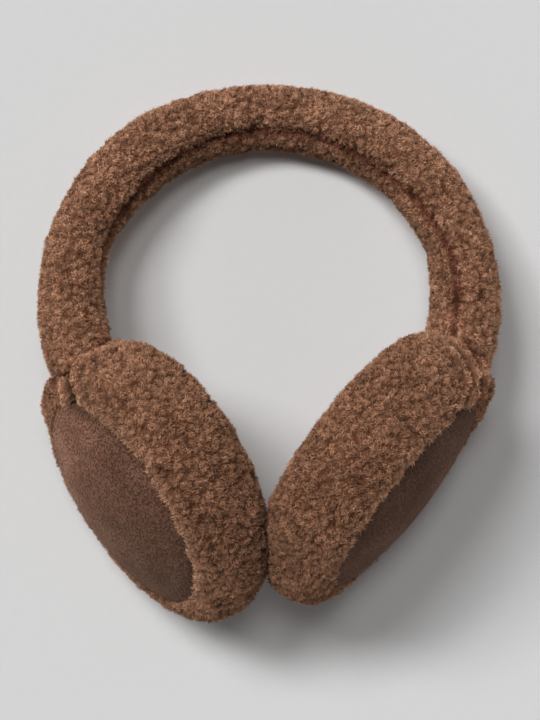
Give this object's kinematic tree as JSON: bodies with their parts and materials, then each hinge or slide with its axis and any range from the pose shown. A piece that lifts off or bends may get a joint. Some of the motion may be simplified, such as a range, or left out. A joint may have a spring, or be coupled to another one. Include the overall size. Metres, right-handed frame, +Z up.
{
  "type": "fur earmuffs",
  "caption": "Fur earmuffs lying flat: a padded fur headband over thick fur ear cushions, each with a domed suede disc on its outward side.",
  "frame": {"origin": "on the surface that the pair lies on, under the centre of the whole", "axes": "+Y from the ear cushions to the top of the headband, +Z up from the surface, +X to the right as seen from above"},
  "size_m": [0.1732, 0.2018, 0.1098],
  "materials": {
    "fur": "short curled sheepskin fur, matt",
    "suede": "suede with a fine nap, matt"
  },
  "bodies": {
    "root": {"headband": "fur", "left_ear_cushion": "fur", "left_suede_disc": "suede", "right_ear_cushion": "fur", "right_suede_disc": "suede"}
  },
  "joints": []
}
